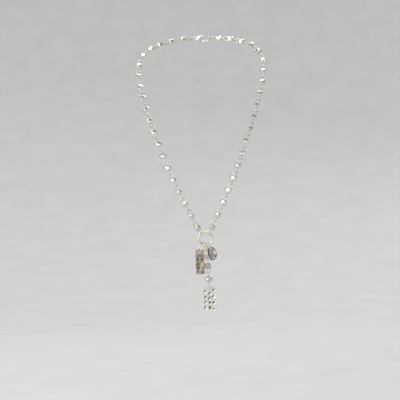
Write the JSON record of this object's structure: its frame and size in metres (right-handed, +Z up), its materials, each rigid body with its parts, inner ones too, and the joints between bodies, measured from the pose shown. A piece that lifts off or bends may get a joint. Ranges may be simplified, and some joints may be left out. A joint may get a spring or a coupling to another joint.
{
  "type": "pendant necklace",
  "caption": "Beaded eye-pin link chain with a lobster clasp and a charm ring that carries two metal tags, a crystal disc and beaded drops.",
  "frame": {"origin": "the nape, at the middle between the two jump rings of the clasp", "axes": "+Z up, +X to the wearer's left (the viewer's right), and the charms hang in front, towards -Y"},
  "size_m": [0.1162, 0.0774, 0.2478],
  "materials": {
    "chain_silver": "satin",
    "clasp_silver": "polished",
    "champagne_ring": "satin",
    "antique_pewter": "satin",
    "hammered_silver": "satin",
    "faceted_silver": "polished",
    "bezel_silver": "polished",
    "smoky_crystal": "polished",
    "olive_crystal": "polished"
  },
  "bodies": {
    "nape": {"clasp_body": "clasp_silver", "clasp_rivet": "clasp_silver", "clasp_spring": "clasp_silver"},
    "clasp_lever": {"clasp_lever": "clasp_silver"},
    "jump_ring_left": {"jump_ring_left": "clasp_silver"},
    "link_left_01": {"link_left_01": "chain_silver"},
    "link_left_02": {"link_left_02": "chain_silver"},
    "link_left_03": {"link_left_03": "chain_silver"},
    "link_left_04": {"link_left_04": "chain_silver"},
    "link_left_05": {"link_left_05": "chain_silver"},
    "link_left_06": {"link_left_06": "chain_silver"},
    "link_left_07": {"link_left_07": "chain_silver"},
    "link_left_08": {"link_left_08": "chain_silver"},
    "link_left_09": {"link_left_09": "chain_silver"},
    "link_left_10": {"link_left_10": "chain_silver"},
    "link_left_11": {"link_left_11": "chain_silver"},
    "link_left_12": {"link_left_12": "chain_silver"},
    "link_left_13": {"link_left_13": "chain_silver"},
    "link_left_14": {"link_left_14": "chain_silver"},
    "link_left_15": {"link_left_15": "chain_silver"},
    "link_left_16": {"link_left_16": "chain_silver"},
    "link_left_17": {"link_left_17": "chain_silver"},
    "link_left_18": {"link_left_18": "chain_silver"},
    "link_left_19": {"link_left_19": "chain_silver"},
    "link_left_20": {"link_left_20": "chain_silver"},
    "jump_ring_right": {"jump_ring_right": "clasp_silver"},
    "link_right_01": {"link_right_01": "chain_silver"},
    "link_right_02": {"link_right_02": "chain_silver"},
    "link_right_03": {"link_right_03": "chain_silver"},
    "link_right_04": {"link_right_04": "chain_silver"},
    "link_right_05": {"link_right_05": "chain_silver"},
    "link_right_06": {"link_right_06": "chain_silver"},
    "link_right_07": {"link_right_07": "chain_silver"},
    "link_right_08": {"link_right_08": "chain_silver"},
    "link_right_09": {"link_right_09": "chain_silver"},
    "link_right_10": {"link_right_10": "chain_silver"},
    "link_right_11": {"link_right_11": "chain_silver"},
    "link_right_12": {"link_right_12": "chain_silver"},
    "link_right_13": {"link_right_13": "chain_silver"},
    "link_right_14": {"link_right_14": "chain_silver"},
    "link_right_15": {"link_right_15": "chain_silver"},
    "link_right_16": {"link_right_16": "chain_silver"},
    "link_right_17": {"link_right_17": "chain_silver"},
    "link_right_18": {"link_right_18": "chain_silver"},
    "link_right_19": {"link_right_19": "chain_silver"},
    "link_right_20": {"link_right_20": "chain_silver"},
    "pendant_ring": {"pendant_ring": "champagne_ring"},
    "tag_ring": {"tag_ring": "champagne_ring"},
    "framed_tag": {"framed_tag": "antique_pewter"},
    "crystal_disc": {"bezel": "bezel_silver", "crystal": "smoky_crystal"},
    "drop_ring": {"drop_ring": "champagne_ring"},
    "drop_pin_upper": {"drop_pin_upper": "chain_silver"},
    "drop_bead_upper": {"drop_bead_upper": "chain_silver"},
    "drop_pin_lower": {"drop_pin_lower": "chain_silver"},
    "drop_bead_lower": {"drop_bead_lower": "faceted_silver"},
    "hammered_tag": {"hammered_tag": "hammered_silver"},
    "olive_pin": {"olive_pin": "chain_silver"},
    "olive_bead": {"olive_bead": "olive_crystal"}
  },
  "joints": [
    {"name": "lever_hinge", "type": "hinge", "parent": "nape", "child": "clasp_lever", "pos_m": [-0.0012, 0, -0.0019], "axis": [0, -1, 0], "range_deg": [0, 25], "stiffness_Nm_per_rad": 0.0005, "springref_deg": -2.86},
    {"name": "jump_ring_left_twist", "type": "hinge", "parent": "nape", "child": "jump_ring_left", "pos_m": [-0.006, 0, 0], "axis": [1, 0, 0], "range_deg": [-12, 12]},
    {"name": "link_left_01_swing", "type": "hinge", "parent": "jump_ring_left", "child": "link_left_01", "pos_m": [-0.01007, 0, 0], "axis": [-1, 0, 0], "range_deg": [-10, 10]},
    {"name": "link_left_02_swing", "type": "hinge", "parent": "link_left_01", "child": "link_left_02", "pos_m": [-0.02139, -0.00231, -0.00108], "axis": [1, 0, 0], "range_deg": [-10, 10]},
    {"name": "link_left_03_swing", "type": "hinge", "parent": "link_left_02", "child": "link_left_03", "pos_m": [-0.03179, -0.00658, -0.0039], "axis": [-1, 0, 0], "range_deg": [-10, 10]},
    {"name": "link_left_04_swing", "type": "hinge", "parent": "link_left_03", "child": "link_left_04", "pos_m": [-0.041, -0.01249, -0.00777], "axis": [1, 0, 0], "range_deg": [-10, 10]},
    {"name": "link_left_05_swing", "type": "hinge", "parent": "link_left_04", "child": "link_left_05", "pos_m": [-0.04874, -0.01921, -0.0132], "axis": [-1, 0, 0], "range_deg": [-10, 10]},
    {"name": "link_left_06_swing", "type": "hinge", "parent": "link_left_05", "child": "link_left_06", "pos_m": [-0.05422, -0.02556, -0.02121], "axis": [1, 0, 0], "range_deg": [-10, 10]},
    {"name": "link_left_07_swing", "type": "hinge", "parent": "link_left_06", "child": "link_left_07", "pos_m": [-0.05581, -0.03117, -0.03124], "axis": [-1, 0, 0], "range_deg": [-25, 25]},
    {"name": "link_left_08_swing", "type": "hinge", "parent": "link_left_07", "child": "link_left_08", "pos_m": [-0.05465, -0.0363, -0.04158], "axis": [1, 0, 0], "range_deg": [-25, 25]},
    {"name": "link_left_09_swing", "type": "hinge", "parent": "link_left_08", "child": "link_left_09", "pos_m": [-0.05255, -0.04145, -0.05176], "axis": [-1, 0, 0], "range_deg": [-25, 25]},
    {"name": "link_left_10_swing", "type": "hinge", "parent": "link_left_09", "child": "link_left_10", "pos_m": [-0.04992, -0.04619, -0.06201], "axis": [1, 0, 0], "range_deg": [-35, 35]},
    {"name": "link_left_11_swing", "type": "hinge", "parent": "link_left_10", "child": "link_left_11", "pos_m": [-0.04692, -0.05034, -0.07242], "axis": [-1, 0, 0], "range_deg": [-35, 35]},
    {"name": "link_left_12_swing", "type": "hinge", "parent": "link_left_11", "child": "link_left_12", "pos_m": [-0.04357, -0.05403, -0.0829], "axis": [1, 0, 0], "range_deg": [-35, 35]},
    {"name": "link_left_13_swing", "type": "hinge", "parent": "link_left_12", "child": "link_left_13", "pos_m": [-0.03996, -0.05735, -0.09341], "axis": [-1, 0, 0], "range_deg": [-35, 35]},
    {"name": "link_left_14_swing", "type": "hinge", "parent": "link_left_13", "child": "link_left_14", "pos_m": [-0.03626, -0.0604, -0.10397], "axis": [1, 0, 0], "range_deg": [-35, 35]},
    {"name": "link_left_15_swing", "type": "hinge", "parent": "link_left_14", "child": "link_left_15", "pos_m": [-0.03244, -0.0631, -0.11459], "axis": [-1, 0, 0], "range_deg": [-35, 35]},
    {"name": "link_left_16_swing", "type": "hinge", "parent": "link_left_15", "child": "link_left_16", "pos_m": [-0.02832, -0.0653, -0.1252], "axis": [1, 0, 0], "range_deg": [-35, 35]},
    {"name": "link_left_17_swing", "type": "hinge", "parent": "link_left_16", "child": "link_left_17", "pos_m": [-0.02383, -0.0669, -0.13578], "axis": [-1, 0, 0], "range_deg": [-35, 35]},
    {"name": "link_left_18_swing", "type": "hinge", "parent": "link_left_17", "child": "link_left_18", "pos_m": [-0.01909, -0.06798, -0.14631], "axis": [1, 0, 0], "range_deg": [-35, 35]},
    {"name": "link_left_19_swing", "type": "hinge", "parent": "link_left_18", "child": "link_left_19", "pos_m": [-0.01419, -0.06865, -0.15681], "axis": [-1, 0, 0], "range_deg": [-35, 35]},
    {"name": "link_left_20_swing", "type": "hinge", "parent": "link_left_19", "child": "link_left_20", "pos_m": [-0.00913, -0.06898, -0.16724], "axis": [1, 0, 0], "range_deg": [-35, 35]},
    {"name": "jump_ring_right_twist", "type": "hinge", "parent": "nape", "child": "jump_ring_right", "pos_m": [0.006, 0, 0], "axis": [1, 0, 0], "range_deg": [-12, 12]},
    {"name": "link_right_01_swing", "type": "hinge", "parent": "jump_ring_right", "child": "link_right_01", "pos_m": [0.01007, 0, 0], "axis": [-1, 0, 0], "range_deg": [-10, 10]},
    {"name": "link_right_02_swing", "type": "hinge", "parent": "link_right_01", "child": "link_right_02", "pos_m": [0.02139, -0.00231, -0.00108], "axis": [1, 0, 0], "range_deg": [-10, 10]},
    {"name": "link_right_03_swing", "type": "hinge", "parent": "link_right_02", "child": "link_right_03", "pos_m": [0.03179, -0.00658, -0.0039], "axis": [-1, 0, 0], "range_deg": [-10, 10]},
    {"name": "link_right_04_swing", "type": "hinge", "parent": "link_right_03", "child": "link_right_04", "pos_m": [0.041, -0.01249, -0.00777], "axis": [1, 0, 0], "range_deg": [-10, 10]},
    {"name": "link_right_05_swing", "type": "hinge", "parent": "link_right_04", "child": "link_right_05", "pos_m": [0.04874, -0.01921, -0.0132], "axis": [-1, 0, 0], "range_deg": [-10, 10]},
    {"name": "link_right_06_swing", "type": "hinge", "parent": "link_right_05", "child": "link_right_06", "pos_m": [0.05422, -0.02556, -0.02121], "axis": [1, 0, 0], "range_deg": [-10, 10]},
    {"name": "link_right_07_swing", "type": "hinge", "parent": "link_right_06", "child": "link_right_07", "pos_m": [0.05581, -0.03117, -0.03124], "axis": [-1, 0, 0], "range_deg": [-25, 25]},
    {"name": "link_right_08_swing", "type": "hinge", "parent": "link_right_07", "child": "link_right_08", "pos_m": [0.05465, -0.0363, -0.04158], "axis": [1, 0, 0], "range_deg": [-25, 25]},
    {"name": "link_right_09_swing", "type": "hinge", "parent": "link_right_08", "child": "link_right_09", "pos_m": [0.05255, -0.04145, -0.05176], "axis": [-1, 0, 0], "range_deg": [-25, 25]},
    {"name": "link_right_10_swing", "type": "hinge", "parent": "link_right_09", "child": "link_right_10", "pos_m": [0.04992, -0.04619, -0.06201], "axis": [1, 0, 0], "range_deg": [-35, 35]},
    {"name": "link_right_11_swing", "type": "hinge", "parent": "link_right_10", "child": "link_right_11", "pos_m": [0.04692, -0.05034, -0.07242], "axis": [-1, 0, 0], "range_deg": [-35, 35]},
    {"name": "link_right_12_swing", "type": "hinge", "parent": "link_right_11", "child": "link_right_12", "pos_m": [0.04357, -0.05403, -0.0829], "axis": [1, 0, 0], "range_deg": [-35, 35]},
    {"name": "link_right_13_swing", "type": "hinge", "parent": "link_right_12", "child": "link_right_13", "pos_m": [0.03996, -0.05735, -0.09341], "axis": [-1, 0, 0], "range_deg": [-35, 35]},
    {"name": "link_right_14_swing", "type": "hinge", "parent": "link_right_13", "child": "link_right_14", "pos_m": [0.03626, -0.0604, -0.10397], "axis": [1, 0, 0], "range_deg": [-35, 35]},
    {"name": "link_right_15_swing", "type": "hinge", "parent": "link_right_14", "child": "link_right_15", "pos_m": [0.03244, -0.0631, -0.11459], "axis": [-1, 0, 0], "range_deg": [-35, 35]},
    {"name": "link_right_16_swing", "type": "hinge", "parent": "link_right_15", "child": "link_right_16", "pos_m": [0.02832, -0.0653, -0.1252], "axis": [1, 0, 0], "range_deg": [-35, 35]},
    {"name": "link_right_17_swing", "type": "hinge", "parent": "link_right_16", "child": "link_right_17", "pos_m": [0.02383, -0.0669, -0.13578], "axis": [-1, 0, 0], "range_deg": [-35, 35]},
    {"name": "link_right_18_swing", "type": "hinge", "parent": "link_right_17", "child": "link_right_18", "pos_m": [0.01909, -0.06798, -0.14631], "axis": [1, 0, 0], "range_deg": [-35, 35]},
    {"name": "link_right_19_swing", "type": "hinge", "parent": "link_right_18", "child": "link_right_19", "pos_m": [0.01419, -0.06865, -0.15681], "axis": [-1, 0, 0], "range_deg": [-35, 35]},
    {"name": "link_right_20_swing", "type": "hinge", "parent": "link_right_19", "child": "link_right_20", "pos_m": [0.00913, -0.06898, -0.16724], "axis": [1, 0, 0], "range_deg": [-35, 35]},
    {"name": "pendant_ring_swing", "type": "hinge", "parent": "link_left_20", "child": "pendant_ring", "pos_m": [0, -0.06904, -0.17771], "axis": [1, 0, 0], "range_deg": [-30, 30]},
    {"name": "tag_ring_swing", "type": "hinge", "parent": "pendant_ring", "child": "tag_ring", "pos_m": [-0.00293, -0.06904, -0.18723], "axis": [0.866, 0, -0.5], "range_deg": [-2, 25]},
    {"name": "framed_tag_swing", "type": "hinge", "parent": "tag_ring", "child": "framed_tag", "pos_m": [-0.00556, -0.06904, -0.19262], "axis": [-0.4659, 0.8551, 0.2273], "range_deg": [-2, 25]},
    {"name": "crystal_disc_swing", "type": "hinge", "parent": "pendant_ring", "child": "crystal_disc", "pos_m": [0.00293, -0.06904, -0.18723], "axis": [-0.866, 0, -0.5], "range_deg": [-3, 25]},
    {"name": "drop_ring_swing", "type": "hinge", "parent": "pendant_ring", "child": "drop_ring", "pos_m": [0, -0.06904, -0.18801], "axis": [-1, 0, 0], "range_deg": [-2, 4]},
    {"name": "upper_drop_swing", "type": "hinge", "parent": "drop_ring", "child": "drop_pin_upper", "pos_m": [0.00141, -0.06833, -0.19539], "axis": [1, 0, 0], "range_deg": [0, 25]},
    {"name": "upper_bead_spin", "type": "hinge", "parent": "drop_pin_upper", "child": "drop_bead_upper", "pos_m": [0.00158, -0.06833, -0.20544], "axis": [0.0175, 0, -0.9998], "continuous": true},
    {"name": "lower_drop_swing", "type": "hinge", "parent": "drop_pin_upper", "child": "drop_pin_lower", "pos_m": [0.00169, -0.06833, -0.21178], "axis": [1, 0, 0], "range_deg": [-25, 35]},
    {"name": "lower_bead_spin", "type": "hinge", "parent": "drop_pin_lower", "child": "drop_bead_lower", "pos_m": [0.00169, -0.06833, -0.21704], "axis": [0, 0, -1], "continuous": true},
    {"name": "hammered_tag_swing", "type": "hinge", "parent": "drop_pin_lower", "child": "hammered_tag", "pos_m": [0.00169, -0.06833, -0.22464], "axis": [0, 1, 0], "range_deg": [-30, 30]},
    {"name": "olive_swing", "type": "hinge", "parent": "drop_ring", "child": "olive_pin", "pos_m": [0.00146, -0.0695, -0.1956], "axis": [-1, 0, 0], "range_deg": [0, 20]},
    {"name": "olive_spin", "type": "hinge", "parent": "olive_pin", "child": "olive_bead", "pos_m": [-0.00301, -0.07184, -0.20463], "axis": [-0.4319, -0.2254, -0.8733], "continuous": true}
  ],
  "couplings": [
    {"joint": "link_right_01_swing", "follows": "link_left_01_swing", "ratio": 1},
    {"joint": "link_right_02_swing", "follows": "link_left_02_swing", "ratio": 1},
    {"joint": "link_right_03_swing", "follows": "link_left_03_swing", "ratio": 1},
    {"joint": "link_right_04_swing", "follows": "link_left_04_swing", "ratio": 1},
    {"joint": "link_right_05_swing", "follows": "link_left_05_swing", "ratio": 1},
    {"joint": "link_right_06_swing", "follows": "link_left_06_swing", "ratio": 1},
    {"joint": "link_right_07_swing", "follows": "link_left_07_swing", "ratio": 1},
    {"joint": "link_right_08_swing", "follows": "link_left_08_swing", "ratio": 1},
    {"joint": "link_right_09_swing", "follows": "link_left_09_swing", "ratio": 1},
    {"joint": "link_right_10_swing", "follows": "link_left_10_swing", "ratio": 1},
    {"joint": "link_right_11_swing", "follows": "link_left_11_swing", "ratio": 1},
    {"joint": "link_right_12_swing", "follows": "link_left_12_swing", "ratio": 1},
    {"joint": "link_right_13_swing", "follows": "link_left_13_swing", "ratio": 1},
    {"joint": "link_right_14_swing", "follows": "link_left_14_swing", "ratio": 1},
    {"joint": "link_right_15_swing", "follows": "link_left_15_swing", "ratio": 1},
    {"joint": "link_right_16_swing", "follows": "link_left_16_swing", "ratio": 1},
    {"joint": "link_right_17_swing", "follows": "link_left_17_swing", "ratio": 1},
    {"joint": "link_right_18_swing", "follows": "link_left_18_swing", "ratio": 1},
    {"joint": "link_right_19_swing", "follows": "link_left_19_swing", "ratio": 1},
    {"joint": "link_right_20_swing", "follows": "link_left_20_swing", "ratio": 1},
    {"joint": "jump_ring_right_twist", "follows": "jump_ring_left_twist", "ratio": 1}
  ]
}
